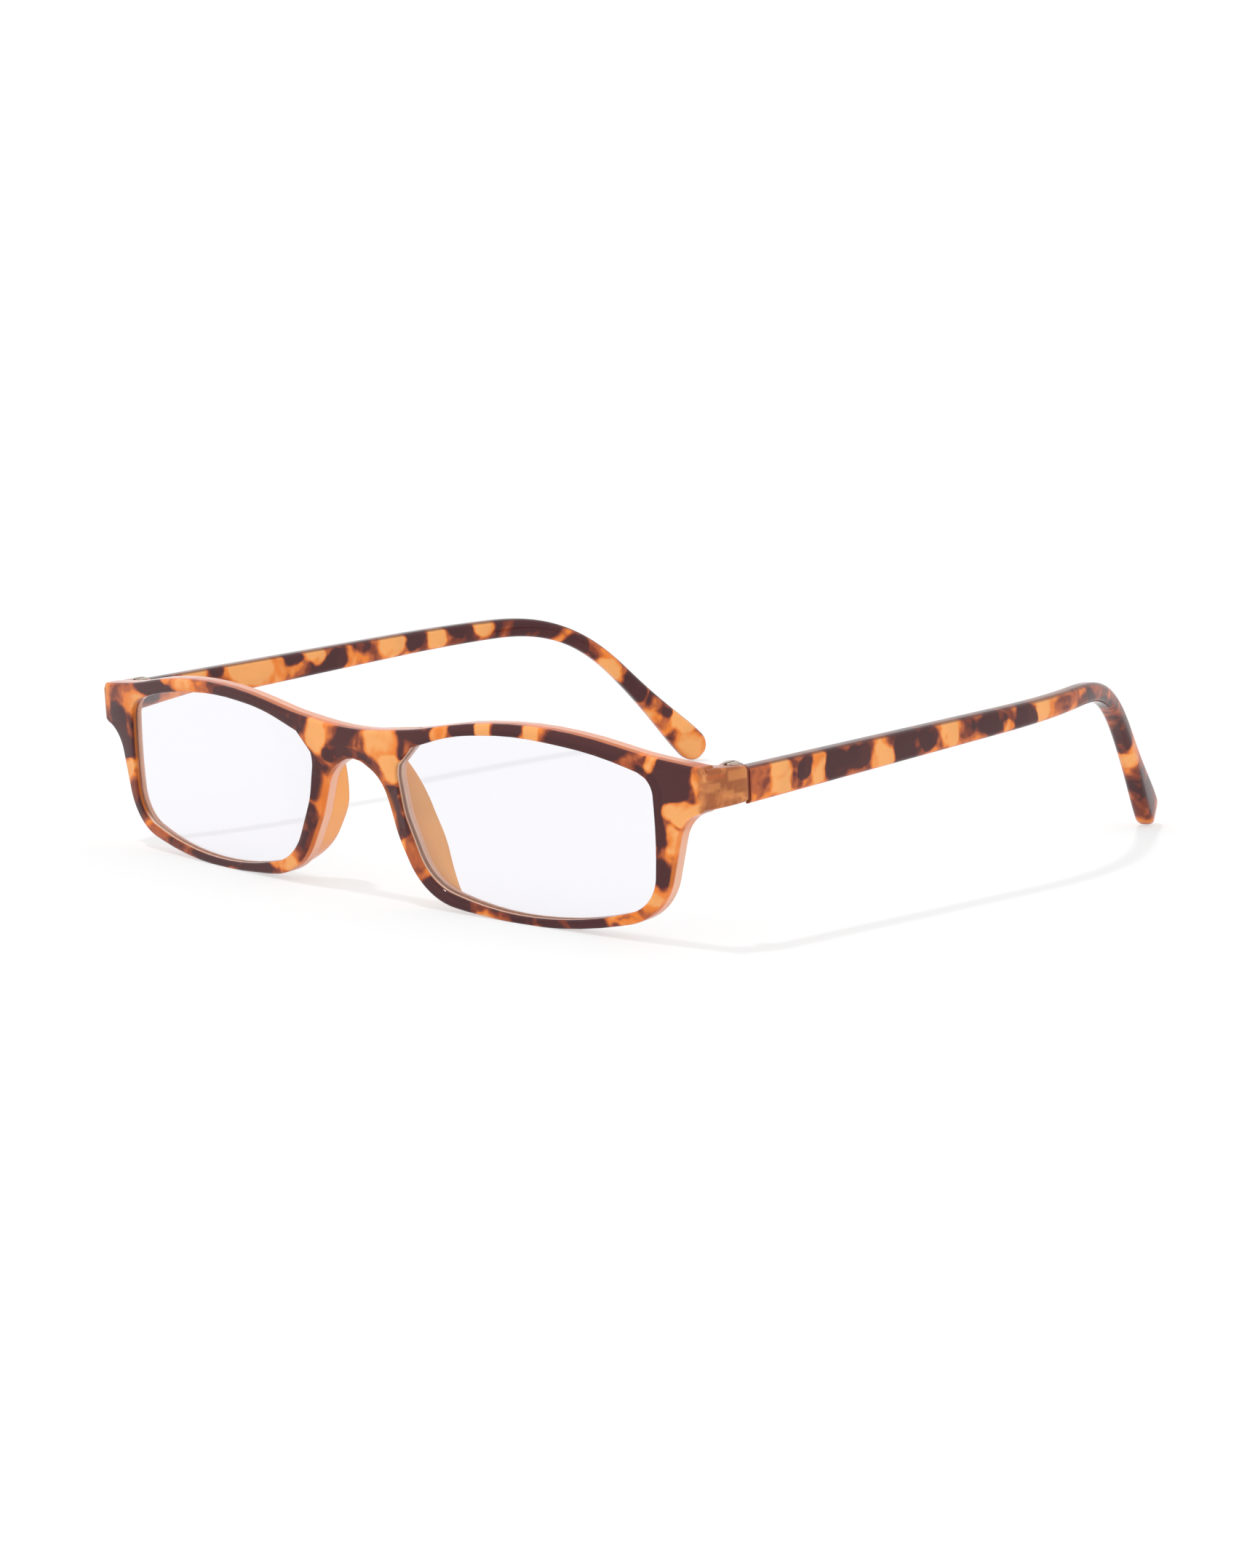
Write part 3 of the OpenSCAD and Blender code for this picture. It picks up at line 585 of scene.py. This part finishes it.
# Distances from the middle where the backs stop being pale, where the fins end, and of the end piece's side
BACK_SIDE, FIN_SIDE = (OPEN_OUT + RIM_SIDE, FRONT_HALF - 2), (30, 34)
BLOCK_SIDE, BLOCK_FROM = (FRONT_HALF - 1.2, FRONT_HALF - 0.4), (5.4, 6.2)
# Walls of the openings: heights below which and distances between which they take the lens edge's pale tone
# with a painted reflection, and their depth
WALL_LOW, WALL_NOSE, WALL_SOFT, WALL_DEPTH, WALL_SHARE = (-11, -9), (8.4, 20), 0.3, (0.6, 2.4), 0.85
# Parts of a surface's normal between which it comes to face a side, and to lie along it
FACES, ALONG = (0.3, 0.7), (0.7, 0.95)
# Edges of the shapes in the end piece, how much of them shows, and the painted shade line beside the joint
SHAPE_SOFT, SHAPE_SHARE, JOINT_SHADE_LINE = 0.25, 0.75, (JOINT_Y - 0.5, JOINT_Y - 0.2)
# Temple: the painted shade at its end by the joint, and the painted dark reflection along its top
END_SHADE_LINE, END_SHADE_SHARE = (JOINT_Y + JOINT_GAP, JOINT_Y + 3 * JOINT_GAP), 0.85
TOP_REFLECTION_FACES, TOP_REFLECTION_SHARE = (0.45, 0.9), 0.8

# Patches of the plastic that catch the eye: place along and up, half width, half height, and tone,
# where -1 is dark and 1 is light. On the front the place is [x, z], on a temple it is [y, z].
FRONT_PATCHES = [
    (-62, 6, 2.2, 2.6, -0.8), (-60.4, 3, 3.8, 4.4, -1), (-60, -2, 2.2, 1.6, 1), (-57.5, -7, 3, 4, -0.45),
    (-50, 12, 6, 1.6, -1), (-38, 13.5, 6, 1.2, 0.3), (-25, 13.2, 7, 1.6, -1), (-14, 11, 5, 2.2, -0.7),
    (-10, 2, 2.4, 3, -0.9), (-11, -4, 2.4, 2.2, -0.6), (-27, -14, 7, 1.6, -0.8), (-18, -12, 3.4, 1.6, 0.5),
    (-41, -14.5, 6, 2, -0.4), (-52, -11.5, 3.4, 2, 0.2),
    (-8, 9.5, 2.4, 3, 0.9), (-1.5, 10, 3.8, 1.8, -0.35), (6.5, 9.5, 3.4, 3, 1), (13.8, 11.6, 3.6, 1.6, -0.4),
    (19, 12.5, 2, 2, 0.9), (23.8, 13.4, 2.4, 1.6, -1), (28, 13.8, 1.5, 1.6, 0.9), (32.6, 14, 2.7, 1.6, -0.9),
    (37, 14, 1.2, 1.6, 0.8), (47, 13.4, 8.6, 2.2, -1), (57.3, 11.2, 0.9, 1.6, 0.7), (60.7, 9, 3.3, 3.2, -1.3),
    (65.5, 8, 0.9, 3.6, 0.6), (62.5, 4.7, 3.2, 1.8, 1), (58.6, 4, 0.9, 5, -0.9),
    (60.9, 0.4, 1.3, 2.2, 0.8), (59, -4.6, 1.8, 2.4, -0.8),
    (57, -9.6, 2, 2, 0.4), (53, -12, 3, 1.4, 0.6), (46.2, -13.4, 3, 1.6, -0.8), (34.2, -14, 4, 1.4, -0.7),
    (24, -13.6, 5.5, 1.6, -0.8), (16.5, -11.8, 3, 2, -0.8), (12.7, -7, 2, 2.8, -0.5),
    (9.9, -3.4, 2.2, 1.8, -0.9), (10, -0.4, 1.8, 1.6, -0.35),
    (8.6, 2.2, 2, 1.1, -1), (8.5, 6, 2.2, 2.2, 0.9), (-5.6, 6.6, 1.2, 1.4, -0.6), (-0.5, 7.4, 4, 0.7, -0.4)]
NEAR_PATCHES = [
    (16, 8, 1.9, 2.2, -0.2), (20.5, 8, 2.2, 3, 0.9), (23.6, 6.8, 1.7, 1.4, -0.6), (25.8, 8.4, 1.8, 1.4, -0.8),
    (28.9, 8, 1.7, 2.6, 0.9), (33, 7.4, 2.4, 2.6, -1), (37.4, 7.8, 2.8, 2, -1), (43.6, 6.4, 3, 2.4, 0.7),
    (50, 6.4, 3.6, 2.6, -1), (54.6, 7, 2.2, 1.6, -0.8), (59.4, 7, 1.9, 2.6, 1), (64, 6.8, 2.6, 1.8, -0.3),
    (70.4, 6.8, 3.4, 2, -1), (74, 5.6, 1.8, 1.2, 0.6), (78.9, 6.2, 3, 2.2, -1), (83.6, 6.2, 1.8, 2.2, 0.9),
    (90, 6.2, 3.4, 2, -0.5), (98, 4, 3.4, 3, -0.8), (106, 0, 4.6, 4, -1), (112, -4, 3, 3, -0.5),
    (118, -8, 4, 4, -1), (123.4, -10.4, 1.8, 1.6, 0.5), (129.5, -14.5, 4.5, 3, -0.4), (132, -19, 4, 4, -0.5)]
FAR_PATCHES = [
    (18, 8, 3, 3, -0.7), (25.5, 9, 2.6, 3, 0.9), (30.5, 9.4, 1.8, 1.8, -0.8), (38, 8.6, 4.4, 3, 0.8),
    (48, 9, 2.4, 2, -1), (53.4, 8.8, 2, 2, 1), (58, 6.4, 2.4, 1.6, -0.8), (64.4, 8.4, 2.2, 2, -0.5),
    (71.6, 7, 3, 2.4, 0.9), (77.4, 7.2, 2.2, 2.4, -0.9), (82.5, 7, 1.9, 2.2, 0.9), (88, 8, 2.6, 2, -1),
    (93.6, 7, 2, 2, 0.9), (103, 5, 4.6, 3, -1), (111, 1, 3, 3, -0.8), (117, -5, 3, 2.8, 1),
    (122.6, -8.6, 2.6, 3, -1), (127.5, -12, 2.6, 3, -0.8), (132.5, -15, 3, 3, 1)]


class Nodes:
    """Short way to write a material's nodes."""

    def __init__(self, name):
        self.mat = bpy.data.materials.new(name)
        self.mat.use_nodes = True
        self.tree = self.mat.node_tree
        self.shader = self.tree.nodes["Principled BSDF"]
        self.out = self.tree.nodes["Material Output"]

    def put(self, socket, value):
        if isinstance(value, bpy.types.NodeSocket):
            self.tree.links.new(value, socket)
        else:
            socket.default_value = value

    def add(self, kind, inputs=None, **settings):
        node = self.tree.nodes.new(kind)
        for key, value in settings.items():
            setattr(node, key, value)
        for key, value in (inputs or {}).items():
            self.put(node.inputs[key], value)
        return node

    def look(self, **values):
        """Sets the shader's values, their names written with _ for a space."""
        for key, value in values.items():
            self.put(self.shader.inputs[key.replace("_", " ")], value)

    def math(self, operation, a, b=0.0):
        return self.add("ShaderNodeMath", {0: a, 1: b}, operation=operation).outputs[0]

    def vector(self, operation, a, b):
        return self.add("ShaderNodeVectorMath", {0: a, 1: b}, operation=operation).outputs[0]

    def between(self, value, low, high, start=0.0, end=1.0):
        """Smooth step of a value from start, at low, to end, at high."""
        inputs = {"Value": value, "From Min": low, "From Max": high, "To Min": start, "To Max": end}
        return self.add("ShaderNodeMapRange", inputs, interpolation_type="SMOOTHSTEP").outputs[0]

    def band(self, value, low, high, soft=0.15):
        """One between low and high, with soft edges."""
        rising = self.between(value, low - soft, low + soft)
        return self.math("MULTIPLY", rising, self.between(value, high - soft, high + soft, 1.0, 0.0))

    def noise(self, place, scale, detail=2.0, distortion=0.0):
        inputs = {"Vector": place, "Scale": scale, "Detail": detail, "Roughness": 0.5,
                  "Distortion": distortion}
        return self.add("ShaderNodeTexNoise", inputs)

    def ramp(self, fac, stops):
        node = self.add("ShaderNodeValToRGB", {"Fac": fac})
        node.color_ramp.interpolation = "EASE"
        points = node.color_ramp.elements
        while len(points) < len(stops):
            points.new(0.5)
        for point, (place, color) in zip(points, stops):
            point.position, point.color = place, (*color, 1)
        return node.outputs[0]

    def mixed(self, fac, a, b):
        full = [v if isinstance(v, bpy.types.NodeSocket) else (*v, 1) for v in (a, b)]
        return self.add("ShaderNodeMix", {0: fac, 6: full[0], 7: full[1]}, data_type="RGBA").outputs[2]

    def tinted(self, color, tint):
        inputs = {0: 1.0, 6: color, 7: (*tint, 1)}
        return self.add("ShaderNodeMix", inputs, data_type="RGBA", blend_type="MULTIPLY").outputs[2]

    def normal(self):
        """Parts of the surface's own normal."""
        normal = self.add("ShaderNodeTexCoord").outputs["Normal"]
        return self.add("ShaderNodeSeparateXYZ", {0: normal}).outputs

    def design_place(self):
        """Point in the upright design frame, in millimetres."""
        turn = Matrix.Rotation(math.radians(-TILT), 3, "X")
        back = turn @ Vector((0, MIDDLE_Y, -LIFT))
        inputs = {"Vector": self.add("ShaderNodeTexCoord").outputs["Object"], "Location": back,
                  "Rotation": (math.radians(-TILT), 0, 0), "Scale": (1 / MM,) * 3}
        return self.add("ShaderNodeMapping", inputs).outputs[0]


def flecks(m, place, flat, patches, shift, tone):
    """Colour of the tortoise pattern: drifting noise, with the patches laid over it."""
    moved = m.vector("ADD", place, shift)
    warp = m.noise(moved, SWAY_SCALE).outputs["Color"]
    # The noise's colour is about a half everywhere, so the patches move by half of the sway as well
    bent = m.vector("ADD", flat, m.vector("MULTIPLY", warp, (SWAY, SWAY, 0)))
    clouds = m.noise(moved, CLOUD_SCALE, 2.0, 0.8).outputs[0]
    level = m.math("ADD", m.math("MULTIPLY", clouds, CLOUD_SHARE), tone)
    for along, up, wide, high, amount in patches:
        off = m.vector("SUBTRACT", bent, (along + SWAY / 2, up + SWAY / 2, 0))
        size = m.vector("MULTIPLY", off, (1 / wide, 1 / high, 0))
        far = m.add("ShaderNodeVectorMath", {0: size}, operation="LENGTH").outputs["Value"]
        level = m.math("ADD", level, m.between(far, *PATCH_EDGE, PATCH_SHARE * amount, 0.0))
    fine = m.math("SUBTRACT", m.noise(moved, FINE_SCALE).outputs[0], 0.5)
    level = m.math("ADD", level, m.math("MULTIPLY", fine, FINE_SHARE))
    return m.ramp(level, PATTERN)


def hinge_look(m, color, place, side, y, z):
    """Tone of the end piece, with the fork's slot and pocket that show through it, and painted shade beside
    the joint.
    """
    block_side = m.math("MULTIPLY", m.between(side, *BLOCK_SIDE), m.between(y, *BLOCK_FROM))
    cloud = m.noise(place, HINGE_SCALE, 3.0, 0.5).outputs[0]
    color = m.mixed(block_side, color, m.ramp(cloud, HINGE_TONES))
    shown = m.math("MULTIPLY", block_side, SHAPE_SHARE)
    for y_low, y_high, z_low, z_high, tone in HINGE_SHAPES:
        in_y, in_z = m.band(y, y_low, y_high, SHAPE_SOFT), m.band(z, z_low, z_high, SHAPE_SOFT)
        inside = m.math("MULTIPLY", in_y, in_z)
        color = m.mixed(m.math("MULTIPLY", inside, shown), color, tone)
    # Painted shade: a brown line on the end piece beside the joint's gap
    return m.mixed(m.math("MULTIPLY", m.between(y, *JOINT_SHADE_LINE), block_side), color, BROWN)


def wall_edge_and_reflection(m, x, z, depth):
    """Share of the pale lens edge, with a painted reflection, that shows in the openings' walls, below and
    beside the nose.
    """
    normal = m.normal()
    groove = m.between(m.math("ABSOLUTE", normal[1]), *ALONG)
    up = m.math("MAXIMUM", groove, m.between(normal[2], *FACES))
    below = m.math("MULTIPLY", up, m.between(z, *WALL_LOW, 1.0, 0.0))
    out = m.math("MULTIPLY", normal[0], m.math("SIGN", x))
    out = m.math("MAXIMUM", groove, m.between(out, *FACES))
    beside = m.math("MULTIPLY", out, m.band(m.math("ABSOLUTE", x), *WALL_NOSE, WALL_SOFT))
    wall = m.math("MULTIPLY", m.math("MAXIMUM", below, beside), m.band(depth, *WALL_DEPTH))
    return m.math("MULTIPLY", wall, WALL_SHARE)


def front_tones(m, color, place, x, y, z):
    """The pattern's colour, changed for the lip, the backs, the openings' walls with their painted
    reflection, the hinges with painted shade at the joint, and the fins.
    """
    depth = m.math("SUBTRACT", y, m.math("DIVIDE", m.math("MULTIPLY", x, x), 2 * FRONT_R))
    side = m.math("ABSOLUTE", x)
    back = m.math("MULTIPLY", m.between(depth, *BACK_DEPTH), m.between(side, *BACK_SIDE, 1.0, 0.0))
    color = m.mixed(m.between(depth, *LIP_DEPTH, 0.0, LIP_SHARE), color, LIP_TONE)
    color = m.mixed(back, color, PEACH)
    # Lens edge's pale tone with a painted reflection on the openings' walls
    color = m.mixed(wall_edge_and_reflection(m, x, z, depth), color, LENS_EDGE_AND_REFLECTION)
    color = hinge_look(m, color, place, side, y, z)
    fin = m.math("MULTIPLY", m.between(depth, *FIN_DEPTH), m.between(side, *FIN_SIDE, 1.0, 0.0))
    return m.mixed(fin, color, CLEAR_AMBER)


def temple_tones(m, color, y):
    """The pattern's colour, with painted shade at the joint and a painted dark reflection along the top."""
    # Painted shade at the temple's end by the joint
    color = m.mixed(m.between(y, *END_SHADE_LINE, END_SHADE_SHARE, 0.0), color, BROWN)
    # Painted dark reflection on the faces that look up
    return m.mixed(m.between(m.normal()[2], *TOP_REFLECTION_FACES, 0.0, TOP_REFLECTION_SHARE), color, DARK)


def plastic(name, patches, on_front, shift):
    """Polished amber plastic. On the front the flecks lie in a layer behind the face."""
    m = Nodes(name)
    place = m.design_place()
    x, y, z = m.add("ShaderNodeSeparateXYZ", {0: place}).outputs
    flat = m.add("ShaderNodeCombineXYZ", {0: x if on_front else y, 1: z}).outputs[0]
    color = flecks(m, place, flat, patches, shift, FRONT_LEVEL if on_front else TEMPLE_LEVEL)
    color = front_tones(m, color, place, x, y, z) if on_front else temple_tones(m, color, y)
    facing = m.add("ShaderNodeLayerWeight", {"Blend": 0.5}).outputs["Facing"]
    color = m.mixed(m.between(facing, 0.45, 1.0), color, m.tinted(color, RIM_TINT))
    m.look(Base_Color=color, Roughness=0.07, Specular_IOR_Level=0.2, IOR=1.49, Transmission_Weight=0.25)
    grain = m.noise(place, BUMP_SCALE, 3.0).outputs[0]
    m.look(Normal=m.add("ShaderNodeBump", {"Height": grain, "Strength": 0.03, "Distance": 0.0002}).outputs[0])
    return m.mat


def lens_glass():
    m = Nodes("lens_glass")
    m.look(Base_Color=(*LENS_TINT, 1), Roughness=0.0, IOR=1.5, Transmission_Weight=1.0)
    clear = m.add("ShaderNodeBsdfTransparent", {"Color": (*LENS_SHADE, 1)}).outputs[0]
    shadow = m.add("ShaderNodeLightPath").outputs["Is Shadow Ray"]
    mixer = m.add("ShaderNodeMixShader", {0: shadow, 1: m.shader.outputs[0], 2: clear})
    m.put(m.out.inputs["Surface"], mixer.outputs[0])
    return m.mat


def lens_edge_and_reflection():
    """Ground edge of a lens, pale, with a painted reflection of the plastic it sits in."""
    m = Nodes("lens_edge_and_reflection")
    grain = m.noise(m.design_place(), 1.5, 2.0).outputs[0]
    # Pale edge with a painted reflection of the plastic round it
    m.look(Base_Color=m.ramp(grain, [(0.3, LENS_EDGE_AND_REFLECTION), (0.7, LENS_EDGE_AND_REFLECTION_LIGHT)]), Roughness=0.5, IOR=1.5)
    return m.mat


def steel():
    m = Nodes("screw_steel")
    grain = m.noise(m.design_place(), 2.5, 3.0).outputs[0]
    # Base colour is steel with a painted reflection of the amber plastic
    m.look(Base_Color=m.ramp(grain, STEEL_AND_REFLECTION_TONES), Metallic=1.0, Roughness=0.3)
    return m.mat


# Camera, floor and light
# Width and focal length of the picture in pixels, and the camera's place and aim in the upright design
IMAGE_W, FOCAL_PX, CAMERA_ROLL, SENSOR = 1725, 4949.06, 0.08, 36
CAMERA_PLACE, CAMERA_TARGET = (399.5, -369.99, 91.73), (29.27, 30.0, 2.24)
# Half width of the floor in metres, its own tone for rays that don't reach the eye, and white
FLOOR_HALF, FLOOR_TONE, WHITE = 4.0, (0.9, 0.9, 0.9), 1.04
# Share of the floor's white that takes shadows, light of the sky and sun, and the sun's travel
SHADED, SKY, SUN, SUN_ANGLE, SUN_WAY = 0.31, 1.03, 1.1, 4.5, (4.7, 3.3, -24)


def camera():
    data = bpy.data.cameras.new("camera")
    obj = linked(bpy.data.objects.new("camera", data))
    place, target = ((Vector(p) + Vector((0, -MIDDLE_Y, LIFT))) * MM for p in (CAMERA_PLACE, CAMERA_TARGET))
    turn = (target - place).to_track_quat("-Z", "Y").to_matrix().to_4x4()
    obj.matrix_world = Matrix.Translation(place) @ turn @ Matrix.Rotation(math.radians(CAMERA_ROLL), 4, "Z")
    data.sensor_fit, data.sensor_width, data.lens = "HORIZONTAL", SENSOR, FOCAL_PX * SENSOR / IMAGE_W
    data.clip_start, data.clip_end = 0.01, 20
    bpy.context.scene.camera = obj


def seen_by(tree):
    """One for rays from the camera and for those that glossy and clear surfaces send on."""
    rays = tree.nodes.new("ShaderNodeLightPath")
    value = rays.outputs["Is Camera Ray"]
    for name in ("Is Glossy Ray", "Is Transmission Ray"):
        node = tree.nodes.new("ShaderNodeMath")
        node.operation = "MAXIMUM"
        tree.links.new(value, node.inputs[0])
        tree.links.new(rays.outputs[name], node.inputs[1])
        value = node.outputs[0]
    return value


def stage():
    r = FLOOR_HALF
    mesh = bpy.data.meshes.new("floor")
    mesh.from_pydata([(-r, -r, 0), (r, -r, 0), (r, r, 0), (-r, r, 0)], [], [(0, 1, 2, 3)])
    floor = linked(bpy.data.objects.new("floor", mesh))
    m = Nodes("floor")
    seen = seen_by(m.tree)
    m.look(Base_Color=m.mixed(seen, FLOOR_TONE, (SHADED,) * 3), Roughness=0.9, Specular_IOR_Level=0.0)
    lit = SHADED * (SKY + SUN / math.pi)
    glow = m.add("ShaderNodeEmission", {"Strength": m.math("MULTIPLY", seen, WHITE - lit)})
    both_parts = m.add("ShaderNodeAddShader", {0: m.shader.outputs[0], 1: glow.outputs[0]})
    m.put(m.out.inputs["Surface"], both_parts.outputs[0])
    floor.data.materials.append(m.mat)

    world = bpy.data.worlds.new("world")
    bpy.context.scene.world = world
    world.use_nodes = True
    tree = world.node_tree
    strength = tree.nodes.new("ShaderNodeMath")
    strength.operation = "MULTIPLY_ADD"
    tree.links.new(seen_by(tree), strength.inputs[0])
    strength.inputs[1].default_value, strength.inputs[2].default_value = WHITE - SKY, SKY
    back = tree.nodes["Background"]
    back.inputs["Color"].default_value = (1, 1, 1, 1)
    tree.links.new(strength.outputs[0], back.inputs["Strength"])

    sun = bpy.data.lights.new("sun", "SUN")
    sun.energy, sun.angle = SUN, math.radians(SUN_ANGLE)
    lamp = linked(bpy.data.objects.new("sun", sun))
    lamp.rotation_euler = Vector(SUN_WAY).to_track_quat("-Z", "Y").to_euler()


bpy.context.scene.view_settings.view_transform = "Standard"
camera()
stage()

# Pieces
# Part of a normal along Y below which a face of a lens belongs to its edge
WALL_NORMAL = 0.4


def pair(obj, name):
    """A piece of the near side and its mirror image on the far side."""
    far = mirrored(obj, name + "_far")
    obj.name = name + "_near"
    return obj, far


front = built(front_piece(), plastic("front_plastic", FRONT_PATCHES, True, (0, 0, 0)), "front", "front_frame")
# The finer arcs would reach a hair below the table that the construction's arcs stand on
for vertex in front.data.vertices:
    vertex.co.z = max(vertex.co.z, 0.0)

lenses = pair(lens(), "lens")
glass = lens_glass()
wall = lens_edge_and_reflection()
for piece, node in zip(lenses, ("lens_left", "lens_right")):
    built(piece, glass, "front", node, smooth=50)
    piece.data.materials.append(wall)
    for poly in piece.data.polygons:
        poly.material_index = int(abs(poly.normal.y) < WALL_NORMAL)

temples = pair(temple_body(), "temple")
near_plastic = plastic("near_temple_plastic", NEAR_PATCHES, False, (0, 0, 0))
far_plastic = plastic("far_temple_plastic", FAR_PATCHES, False, (31, 14, 9))
built(temples[0], near_plastic, "left_temple", "temple_left")
built(temples[1], far_plastic, "right_temple", "temple_right")

screws = pair(screw(), "screw")
metal = steel()
for piece, node in zip(screws, ("hinge_screw_left", "hinge_screw_right")):
    built(piece, metal, "front", node)
